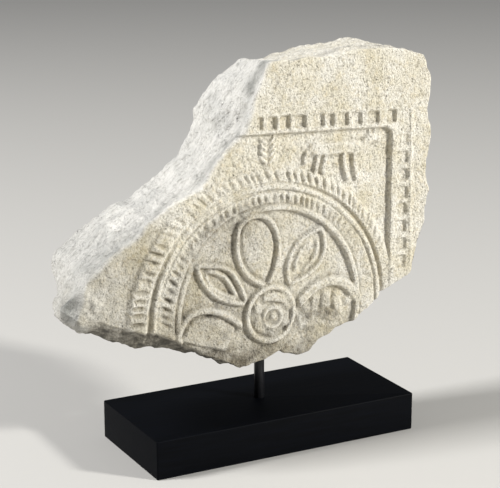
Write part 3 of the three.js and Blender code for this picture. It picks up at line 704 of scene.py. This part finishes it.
# %% Hollows and chips of the breaks, then those of the back
surface_run = np.concatenate([np.zeros((1, rings.shape[1])), np.cumsum(
    np.linalg.norm(np.diff(rings, axis=0), axis=-1), axis=0)])
downhill = np.array([0.78, 0.0, 0.62])
drawn_out = rings - 0.6 * (rings @ downhill)[..., None] * downhill
calm = 1 - 0.7 * np.exp(-((SLAB_THICKNESS - deep) / 16) ** 2) - 0.3 * tip
broad_push = 3.4 * roughness(rings, 46, 21) + 5.5 * (dishes(rings, 34, 22) - 0.25)
fine_push = 3.4 * (dishes(drawn_out, 13, 27) - 0.25) + 1.6 * (dishes(drawn_out, 5.5, 28) - 0.25)
fine_push += 0.9 * roughness(rings, 7, 23) + 0.6 * roughness(rings, 3.4, 24)
side_push = (calm * broad_push + (1 - 0.6 * tip) * fine_push) * smooth(surface_run / 9.0)
on_top = smooth((outwards[:, 1] - 0.75) / 0.2)
side_push *= smooth((24 - inset) / 22)[:, None] * (1 - 0.5 * on_top)
rings[..., 0] += side_push * outwards[None, :, 0]
rings[..., 2] += side_push * outwards[None, :, 1]
back_push = 1.8 * roughness(rings, 46, 25) + 3.0 * (dishes(rings, 38, 26) - 0.3)
back_push += 1.4 * (dishes(rings, 17, 29) - 0.3)
rings[..., 1] += back_push * smooth((inset - 2) / 14)[:, None]
rings[-1] = BACK_MIDDLE
print("Sides pushed by up to", round(float(np.abs(side_push).max()), 1), "mm")

# %% Join face, sides and back into one closed mesh
MM = 0.001
face_points = face.reshape(-1, 3)
ring_points = rings[1:-1].reshape(-1, 3)
stone_points = np.vstack([face_points, ring_points, BACK_MIDDLE[None]])
ring_numbers = np.vstack([
    ring_index[None], len(face_points) + np.arange(len(ring_points)).reshape(-1, around_count),
])
face_quads = np.stack([
    grid_index[:-1, :-1], grid_index[1:, :-1], grid_index[1:, 1:], grid_index[:-1, 1:],
], axis=-1).reshape(-1, 4)
ring_next = np.roll(ring_numbers, -1, axis=1)
ring_quads = np.stack([
    ring_numbers[:-1], ring_numbers[1:], ring_next[1:], ring_next[:-1],
], axis=-1).reshape(-1, 4)
pole = np.full(around_count, len(stone_points) - 1)
pole_faces = np.stack([ring_numbers[-1], pole, ring_next[-1]], axis=-1)
stone_faces = face_quads.tolist() + ring_quads.tolist() + pole_faces.tolist()
full_triangles = 2 * (len(face_quads) + len(ring_quads)) + around_count
print("Stone:", len(stone_points), "points,", full_triangles, "triangles before thinning")


# %% Turn arrays into a Blender object
def mesh_object(name, points_mm, faces):
    """A smooth-shaded object from points in millimetres and lists of faces."""
    mesh = bpy.data.meshes.new(name)
    mesh.from_pydata((np.asarray(points_mm) * MM).tolist(), [], faces)
    mesh.polygons.foreach_set("use_smooth", np.ones(len(mesh.polygons), bool))
    mesh.update()
    made = bpy.data.objects.new(name, mesh)
    bpy.context.scene.collection.objects.link(made)
    return made


stone = mesh_object("limestone_relief", stone_points, stone_faces)
print("Made", stone.name, "with", len(stone.data.polygons), "faces")

# %% [markdown]
# ## Where the stone is fresh, soiled and in painted shade, worn and painted light
#
# Dirt lies where water can't wash it off, a new break is clean, and crests are rubbed pale. Painted
# shade is laid in with the dirt, and a painted highlight with the wear on crests and top. That
# could be painted on by hand. Here three numbers for each point say it, from what is already
# known: the place on the outline, the depth of the carving and the damage. The finish reads them.

# %% Fresh breaks
inner_rings = rings[1:-1]
ring_at = around_at + 26 * roughness(inner_rings, 15, 40) + 9 * roughness(inner_rings, 5, 41)
fresh_rings = np.interp(
    ring_at,
    [0, 25, COLUMNS * 0.2, COLUMNS, COLUMNS + ROWS * 0.4, 2 * COLUMNS + ROWS - 60,
     2 * COLUMNS + ROWS - 10, around_count - 25],
    [0.8, 0.4, 0.3, 0.35, 0.1, 0.15, 1, 1], period=around_count)
to_break = from_left + 3 * roughness(face_place, 9, 31)
fresh_face = 0.9 * smooth((5 - to_break) / 6) + 0.45 * corner_damage
fresh_face = np.maximum(fresh_face, smooth(past_corner / 5))
over_back = smooth((inset[1:-1] - 2) / 20)[:, None]
fresh_rings = fresh_rings * (1 - over_back) + 0.12 * over_back
stone_fresh = np.concatenate([fresh_face.ravel(), fresh_rings.ravel(), [0.12]])
print("Fresh break on", int((stone_fresh > 0.5).sum()), "points")


# %% Soil and painted shade in the hollows, pale crests with a painted highlight
def blurred(values, reach):
    """Each value averaged with its neighbours up to reach steps away along both grid axes: the
    difference of two running sums over their distance."""
    for axis in (0, 1):
        width = [(0, 0), (0, 0)]
        width[axis] = (reach + 1, reach)
        total = np.cumsum(np.pad(values, width, mode="edge"), axis=axis)
        high, low = [slice(None)] * 2, [slice(None)] * 2
        high[axis], low[axis] = slice(2 * reach + 1, None), slice(0, -2 * reach - 1)
        values = (total[tuple(high)] - total[tuple(low)]) / (2 * reach + 1)
    return values


# Painted shade with dirt on the face: darker in the rosette's sunk field and towards the left, where
# the light falls off (shade_side).
sunk = smooth((118 - radius) / 10) * (0.8 + 0.5 * roughness(face_place, 60, 32))
shade_side = smooth((60 - X) / 130)
face_soil_and_shade = sunk * (0.16 + 0.40 * shade_side) + 0.36 * smooth((-90 - X) / 70)
# Painted shade towards the bottom, and darker in the hollows of the carving: partly dirt, partly
# painted shade.
face_soil_and_shade += 0.4 * smooth((118 - Z) / 24) + 0.28 * smooth((blurred(relief, 5) - relief) / 1.7)
face_soil_and_shade += petal_damage * (0.25 + 0.5 * roughness(face_place, 14, 36))
# Painted shade in the hollow at the left tip.
face_soil_and_shade += 0.9 * around(-208, 168, 6, 13)
# Painted shade on the sides, with some dirt: most on the underside and its bevel, which face away from
# the light.
side_soil_and_shade = np.interp(
    ring_at,
    [0, COLUMNS * 0.05, COLUMNS * 0.12, COLUMNS * 0.6, COLUMNS - 60, COLUMNS + 110,
     around_count - ROWS, around_count - 160, around_count - 90, around_count - 30],
    [0.45, 0.6, 1.25, 1.25, 0.8, 0.2, 0.08, 0.0, 0.22, 0.3], period=around_count)
# Painted shade on the breaks along the face's edge, strongest on the upper break, where the facet
# turns away from the light.
painted_shade_near_face = np.exp(-((inner_rings[..., 1] + 26) / 9) ** 2) * smooth((0.6 - side_soil_and_shade) / 0.4)
ring_soil_and_shade = side_soil_and_shade * (1 - over_back) + (0.35 + 0.3 * roughness(inner_rings, 50, 34)) * over_back
painted_shade_near_face *= 1 + 0.9 * smooth((inner_rings[..., 2] - 250) / 60)
ring_soil_and_shade += 0.36 * painted_shade_near_face * (0.7 + 0.6 * roughness(inner_rings, 16, 35))
stone_soil_and_shade = np.concatenate([face_soil_and_shade.ravel(), ring_soil_and_shade.ravel(), [0.35]])
# Crests paler: partly wear, partly a painted highlight on the ridges.
face_wear_and_highlight = smooth((relief - blurred(relief, 6)) / 1.3)
face_wear_and_highlight *= 0.75 + 0.5 * roughness(face_place, 18, 37)
# The top of the slab painted lighter, as light falls on it, and also as rubbed.
top_wear_and_light = smooth((outwards[:, 1] - 0.6) / 0.3) * (1 - over_back)
top_wear_and_light = 0.8 * top_wear_and_light * smooth((inner_rings[..., 2] - 330) / 20)
stone_wear_and_highlight = np.concatenate([face_wear_and_highlight.ravel(), top_wear_and_light.ravel(), [0]])
for name, values in (("fresh", stone_fresh), ("soil_and_shade", stone_soil_and_shade), ("wear_and_highlight", stone_wear_and_highlight)):
    layer = stone.data.attributes.new(name, "FLOAT", "POINT")
    layer.data.foreach_set("value", np.clip(values, 0, 1).astype(np.float32))
print("Soil over a half on", int((stone_soil_and_shade > 0.5).sum()), "points")

# %% Thin the mesh where it is plain
STONE_TRIANGLES = 196000
thinning = stone.modifiers.new("thinning", "DECIMATE")
thinning.ratio = STONE_TRIANGLES / full_triangles
graph = bpy.context.evaluated_depsgraph_get()
thinned = bpy.data.meshes.new_from_object(stone.evaluated_get(graph))
stone.modifiers.clear()
stone.data = thinned
thinned.polygons.foreach_set("use_smooth", np.ones(len(thinned.polygons), bool))
print("Stone after thinning:", len(thinned.polygons), "faces")
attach(stone, "root")
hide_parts("relief_panel")

# %% [markdown]
# ## Block and post
#
# The block is painted wood with edges that were eased with sandpaper, and the post is a steel
# rod. A cube with a Bevel modifier would do for the block. The same formula as for any rounded
# box is shorter here: each layer of a rounded outline is moved in as the edge turns over.


# %% The block as layers of a rounded outline
def rounded_box(half_x, half_y, low, high, ease, corner):
    """Layers of a rounded rectangle: going up the edge the inset is ease times one minus the
    sine of the turn, and the height changes by ease times one minus its cosine."""
    turn = np.linspace(0, math.pi / 2, 7)
    insets = np.concatenate([ease * (1 - np.sin(turn)), ease * (1 - np.cos(turn))])
    heights = np.concatenate([low + ease * (1 - np.cos(turn)), high - ease * (1 - np.sin(turn))])
    quarter = np.linspace(0, math.pi / 2, 7)
    arc = np.stack([np.cos(quarter), np.sin(quarter)], axis=1)
    layers = []
    for layer_inset, z in zip(insets, heights):
        r = max(corner - layer_inset, 0.05)
        centre = np.array([half_x - layer_inset - r, half_y - layer_inset - r])
        corners_out = [
            centre * sign + r * (arc @ np.array([[c, s], [-s, c]]))
            for sign, c, s in (((1, 1), 1, 0), ((-1, 1), 0, 1), ((-1, -1), -1, 0), ((1, -1), 0, -1))
        ]
        ring = np.vstack(corners_out)
        layers.append(np.column_stack([ring, np.full(len(ring), z)]))
    return np.array(layers)


def capped(layers):
    """Faces of a stack of closed rings: quads between neighbours and one flat face at each end."""
    count = layers.shape[1]
    number = np.arange(layers.shape[0] * count).reshape(-1, count)
    after = np.roll(number, -1, axis=1)
    quads = np.stack([number[:-1], after[:-1], after[1:], number[1:]], axis=-1).reshape(-1, 4)
    return quads.tolist() + [number[0, ::-1].tolist(), number[-1].tolist()]


BLOCK_EASE = 1.2
BLOCK_CORNER = 1.6
block_low, block_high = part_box("base_block")
half = (block_high - block_low) / 2 / MM
block_layers = rounded_box(half.x, half.y, 0.0, half.z * 2, BLOCK_EASE, BLOCK_CORNER)
block = mesh_object("black_block", block_layers.reshape(-1, 3), capped(block_layers))
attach(block, "root")
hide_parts("base_block")
print("Block:", [round(value * 2, 1) for value in half], "mm")

# %% The post
POST_EASE = 0.8
POST_SIDES = 64
post_low, post_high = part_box("post")
post_radius = (post_high.x - post_low.x) / 2 / MM
turn = np.linspace(0, 2 * math.pi, POST_SIDES + 1)[:-1]
foot, top = post_low.z / MM, post_high.z / MM
heights = np.array([foot, foot + POST_EASE, top - POST_EASE, top])
radii = post_radius - POST_EASE * np.array([1, 0, 0, 1])
post_layers = np.stack([
    radii[:, None] * np.cos(turn), radii[:, None] * np.sin(turn),
    np.repeat(heights[:, None], POST_SIDES, 1),
], axis=-1)
post = mesh_object("steel_post", post_layers.reshape(-1, 3), capped(post_layers))
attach(post, "root")
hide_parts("post")
print("Post:", round(2 * post_radius, 1), "mm across")

# %% [markdown]
# ## Finishes
#
# Materials are built from nodes that read a place on the object, so a pattern has its real size
# wherever it falls. One function adds a node with its settings and its links, and another turns
# a colour as a painter names it into the linear light that Blender reckons with.


# %% Colours, sizes and nodes
def linear(colour):
    """Linear RGBA from an sRGB hex colour: below 0.04045 the value over 12.92, above it the
    value plus 0.055 over 1.055, raised to 2.4."""
    values = [int(colour[i:i + 2], 16) / 255 for i in (1, 3, 5)]
    light = [v / 12.92 if v <= 0.04045 else ((v + 0.055) / 1.055) ** 2.4 for v in values]
    return (*light, 1.0)


def per_metre(millimetres):
    """Scale of a noise whose features are that many millimetres apart."""
    return 1000 / millimetres


def add_node(tree, kind, settings=None, inputs=None, ramp=None):
    """Adds a node, sets its properties, fills or links its inputs and sets its ramp's stops."""
    made = tree.nodes.new(kind)
    for name, value in (settings or {}).items():
        setattr(made, name, value)
    for name, value in (inputs or {}).items():
        if isinstance(value, bpy.types.NodeSocket):
            tree.links.new(value, made.inputs[name])
        else:
            made.inputs[name].default_value = value
    for stop, (place, colour) in enumerate(ramp or ()):
        if stop > 1:
            made.color_ramp.elements.new(place)
        made.color_ramp.elements[stop].position = place
        made.color_ramp.elements[stop].color = colour
    return made


def new_material(name):
    """A material with an empty tree that holds only its shader and output."""
    material = bpy.data.materials.new(name)
    material.use_nodes = True
    tree = material.node_tree
    tree.nodes.clear()
    shader = add_node(tree, "ShaderNodeBsdfPrincipled")
    add_node(tree, "ShaderNodeOutputMaterial", inputs={"Surface": shader.outputs["BSDF"]})
    return material, tree, shader


print("Middle grey as linear light:", round(linear("#808080")[0], 3))

# %% [markdown]
# ### Weathered limestone
#
# A soft shelly limestone, carved and then weathered: cream, matt and granular, with pits where
# grains fell out and grey dirt in the hollows. Painted shade darkens the hollows, the face towards
# the left and the bottom, the underside and the breaks along the face's edge, and a painted
# highlight lightens crests and top. Its breaks are smoother and nearly white. A scan of a stone
# would bring its own light with it. Here every pattern is a noise as coarse as the real feature,
# and the three numbers of each point say where it shows.

# %% Patterns of the stone at their real sizes
limestone, tree, shader = new_material("weathered_limestone")
place = add_node(tree, "ShaderNodeTexCoord").outputs["Object"]
is_fresh, is_soil_and_shade, is_wear_and_highlight = (
    add_node(tree, "ShaderNodeAttribute", {"attribute_name": name}).outputs["Fac"]
    for name in ("fresh", "soil_and_shade", "wear_and_highlight"))
# Streaks lie along the slope of the long break, stretched fivefold.
leaning = add_node(tree, "ShaderNodeMapping", {"vector_type": "TEXTURE"}, {
    "Vector": place, "Rotation": (0.0, math.radians(-42), 0.0), "Scale": (5.0, 1.0, 1.0),
}).outputs["Vector"]
broad, clump, grit, grain, streaks = (
    add_node(tree, "ShaderNodeTexNoise", inputs={
        "Vector": where, "Scale": per_metre(size), "Detail": detail, "Roughness": roughened,
    }).outputs["Fac"]
    for where, size, detail, roughened in (
        (place, 38, 4.0, 0.6),      # clouds of colour
        (place, 11, 3.0, 0.65),     # patches of soil
        (place, 4.2, 3.0, 0.6),     # clusters of shell and sand
        (place, 1.9, 4.0, 0.68),    # coarse grains
        (leaning, 2.4, 5.0, 0.68),  # streaks of a break
    ))
pits = add_node(tree, "ShaderNodeTexVoronoi", {"feature": "F1"}, {
    "Vector": place, "Scale": per_metre(3.4), "Randomness": 1.0}).outputs["Distance"]
print("Patterns:", len(tree.nodes), "nodes")

# %% Tones and shares that the patterns give
crust, soil_and_shade_tone, grain_tone, hole_tone, bruised, streak_tone = (
    add_node(tree, "ShaderNodeValToRGB", inputs={"Fac": pattern}, ramp=[
        (low, linear(dark)), (high, linear(light))]).outputs["Color"]
    for pattern, low, dark, high, light in (
        (broad, 0.34, "#e0d8c1", 0.6, "#f1ede2"),     # clean crust
        (clump, 0.3, "#3d372e", 0.7, "#7b7059"),      # soil and painted shade
        (grain, 0.32, "#8d836e", 0.52, "#ffffff"),    # dark between the grains
        (grit, 0.33, "#8f8570", 0.43, "#ffffff"),     # dark in the small holes
        (broad, 0.34, "#e6e4de", 0.52, "#f8f5ee"),    # grey bruises of a break
        (streaks, 0.38, "#b3b1ac", 0.48, "#ffffff"),  # its fine streaks
    ))
soil_and_shade_share, ochre_share, pit_depth = (
    add_node(tree, "ShaderNodeMapRange", inputs={
        "Value": pattern, "From Min": low, "From Max": high, "To Min": first, "To Max": last,
    }).outputs["Result"]
    for pattern, low, high, first, last in (
        (clump, 0.3, 0.7, 1.25, 0.6), (grit, 0.52, 0.66, 0.0, 0.26), (pits, 0.05, 0.35, 0.0, 1.0)))
soil_and_shade_amount = add_node(tree, "ShaderNodeMath", {"operation": "MULTIPLY", "use_clamp": True}, {
    0: is_soil_and_shade, 1: soil_and_shade_share}).outputs[0]
# A painted highlight on crests and on the top, given together with the wear.
wear_and_highlight_share, streaks_here = (
    add_node(tree, "ShaderNodeMath", {"operation": "MULTIPLY"}, {0: one, 1: other}).outputs[0]
    for one, other in ((is_wear_and_highlight, 0.6), (streaks, is_fresh)))
hole_share = add_node(tree, "ShaderNodeMapRange", inputs={
    "Value": soil_and_shade_amount, "From Min": 0.0, "From Max": 0.4, "To Min": 0.42, "To Max": 0.1,
}).outputs["Result"]
print("Tones:", len(tree.nodes), "nodes")

# %% Layers of colour on the crust and on a break
BLEND = {"data_type": "RGBA"}
TINT = {"data_type": "RGBA", "blend_type": "MULTIPLY"}
SHARE, UNDER, OVER, MIXED = 0, 6, 7, 2
sides = []
# On the crust, soil and painted shade darken the colour and wear and a painted highlight lighten it;
# on a break, soil and painted shade turn it grey.
for tone, layers in (
    (crust, (
        (BLEND, soil_and_shade_amount, soil_and_shade_tone), (BLEND, wear_and_highlight_share, linear("#f9f5ea")),
        (TINT, 0.6, grain_tone), (TINT, ochre_share, linear("#e0cfa6")), (TINT, hole_share, hole_tone),
    )),
    (bruised, ((TINT, 0.45, streak_tone), (BLEND, soil_and_shade_amount, linear("#94948f")))),
):
    for way, share, colour in layers:
        mix = add_node(tree, "ShaderNodeMix", way, {SHARE: share, UNDER: tone, OVER: colour})
        tone = mix.outputs[MIXED]
    sides.append(tone)
stone_tone = add_node(tree, "ShaderNodeMix", BLEND, {SHARE: is_fresh, UNDER: sides[0], OVER: sides[1]})
tree.links.new(stone_tone.outputs[MIXED], shader.inputs["Base Color"])
print("Layers:", len(tree.nodes), "nodes")

# %% Pits where grains fell out, streaks, clusters and grains, each bump on the one before
carried = {}
for strength, metres, height_of in (
    (0.8, 0.0009, pit_depth), (0.9, 0.0018, streaks_here), (0.9, 0.0028, grit), (1.0, 0.0015, grain),
):
    bump = add_node(tree, "ShaderNodeBump", inputs={
        "Strength": strength, "Distance": metres, "Height": height_of, **carried})
    carried = {"Normal": bump.outputs["Normal"]}
tree.links.new(carried["Normal"], shader.inputs["Normal"])
shader.inputs["Roughness"].default_value = 0.92
shader.inputs["Specular IOR Level"].default_value = 0.25
stone.data.materials.clear()
stone.data.materials.append(limestone)
print("Limestone:", len(tree.nodes), "nodes")

# %% Satin black paint on wood, which shows the grain only as a faint ripple in its gloss
black_wood, tree, shader = new_material("satin_black_painted_wood")
place = add_node(tree, "ShaderNodeTexCoord").outputs["Object"]
stretched = add_node(tree, "ShaderNodeMapping", inputs={"Vector": place, "Scale": (0.06, 1.0, 1.0)})
wood_grain = add_node(tree, "ShaderNodeTexNoise", inputs={
    "Vector": stretched.outputs["Vector"], "Scale": per_metre(3), "Detail": 4.0, "Roughness": 0.6})
paint_tone = add_node(tree, "ShaderNodeValToRGB", inputs={"Fac": wood_grain.outputs["Fac"]}, ramp=[
    (0.3, linear("#020305")), (0.75, linear("#06080e"))])
gloss = add_node(tree, "ShaderNodeMapRange", inputs={
    "Value": wood_grain.outputs["Fac"], "To Min": 0.5, "To Max": 0.65})
ripple = add_node(tree, "ShaderNodeBump", inputs={
    "Strength": 0.12, "Distance": 0.0003, "Height": wood_grain.outputs["Fac"]})
tree.links.new(paint_tone.outputs["Color"], shader.inputs["Base Color"])
tree.links.new(gloss.outputs["Result"], shader.inputs["Roughness"])
tree.links.new(ripple.outputs["Normal"], shader.inputs["Normal"])
shader.inputs["Specular IOR Level"].default_value = 0.06
block.data.materials.append(black_wood)
print("Painted wood:", len(tree.nodes), "nodes")

# %% Satin black paint on steel, with the fine lengthwise marks of a drawn rod
black_steel, tree, shader = new_material("satin_black_painted_steel")
place = add_node(tree, "ShaderNodeTexCoord").outputs["Object"]
drawn = add_node(tree, "ShaderNodeMapping", inputs={"Vector": place, "Scale": (1.0, 1.0, 0.05)})
marks = add_node(tree, "ShaderNodeTexNoise", inputs={
    "Vector": drawn.outputs["Vector"], "Scale": per_metre(0.8), "Detail": 3.0})
steel_tone = add_node(tree, "ShaderNodeValToRGB", inputs={"Fac": marks.outputs["Fac"]}, ramp=[
    (0.3, linear("#0a0a0c")), (0.7, linear("#15161a"))])
steel_gloss = add_node(tree, "ShaderNodeMapRange", inputs={
    "Value": marks.outputs["Fac"], "To Min": 0.32, "To Max": 0.5})
tree.links.new(steel_tone.outputs["Color"], shader.inputs["Base Color"])
tree.links.new(steel_gloss.outputs["Result"], shader.inputs["Roughness"])
post.data.materials.append(black_steel)
print("Finishes:", limestone.name, black_wood.name, black_steel.name)

# %% [markdown]
# ## Floor, light and camera
#
# The stand is on a plain pale floor. A lamp from the upper right rakes over the carving, so that
# each ridge throws a shade to its left, and a wider one from the upper left brightens the
# breaks. A sun would throw harder shades. The camera stands where the photograph was taken from.

# %% Floor
floor_size = 30.0
floor_mesh = bpy.data.meshes.new("floor")
floor_mesh.from_pydata(
    [(-floor_size, -floor_size, 0), (floor_size, -floor_size, 0), (floor_size, floor_size, 0),
     (-floor_size, floor_size, 0)], [], [(0, 1, 2, 3)])
floor = bpy.data.objects.new("floor", floor_mesh)
bpy.context.scene.collection.objects.link(floor)
pale, tree, shader = new_material("pale_floor")
shader.inputs["Base Color"].default_value = linear("#c4c2be")
shader.inputs["Roughness"].default_value = 0.8
floor_mesh.materials.append(pale)
print("Floor:", round(2 * floor_size), "m wide")


# %% Lamps and sky
def aim(thing, spot, target):
    """Puts a lamp at a spot and turns it so that its beam goes to the target."""
    from_to = Vector(target) - Vector(spot)
    thing.location = spot
    thing.rotation_euler = from_to.to_track_quat("-Z", "Y").to_euler()


def lamp(name, spot, size, power, colour):
    """A square area lamp that looks at the middle of the stone."""
    data = bpy.data.lights.new(name, "AREA")
    data.size = size
    data.energy = power
    data.color = linear(colour)[:3]
    made = bpy.data.objects.new(name, data)
    bpy.context.scene.collection.objects.link(made)
    aim(made, spot, (0.0, 0.0, 0.23))
    return made


lamp("key_upper_right", (2.5, -2.8, 1.8), 0.4, 192, "#fffefa")
lamp("fill_upper_left", (-2.9, 0.7, 2.9), 0.9, 178, "#ffffff")
sky = bpy.data.worlds.new("studio")
sky.use_nodes = True
sky.node_tree.nodes["Background"].inputs["Color"].default_value = linear("#e8ebf0")
sky.node_tree.nodes["Background"].inputs["Strength"].default_value = 0.2
bpy.context.scene.world = sky
bpy.context.scene.view_settings.view_transform = "Standard"
print("Lamps:", [light.name for light in bpy.data.lights])

# %% Camera, fitted to the block's corners in the photograph
camera_data = bpy.data.cameras.new("camera")
camera_data.sensor_width = 36.0
camera_data.lens = 119.9
camera = bpy.data.objects.new("camera", camera_data)
bpy.context.scene.collection.objects.link(camera)
camera_spot = np.array([-732.16, -1364.38, 615.14]) * MM
camera_right = np.array([0.8838, -0.4677, 0.0])
camera_up = np.array([0.1227, 0.2319, 0.9650])
camera_back = np.cross(camera_right, camera_up)
pose = np.eye(4)
pose[:3] = np.column_stack([camera_right, camera_up, camera_back, camera_spot])
camera.matrix_world = Matrix(pose.tolist())
bpy.context.scene.camera = camera
print("Camera at", [round(value, 3) for value in camera.location])
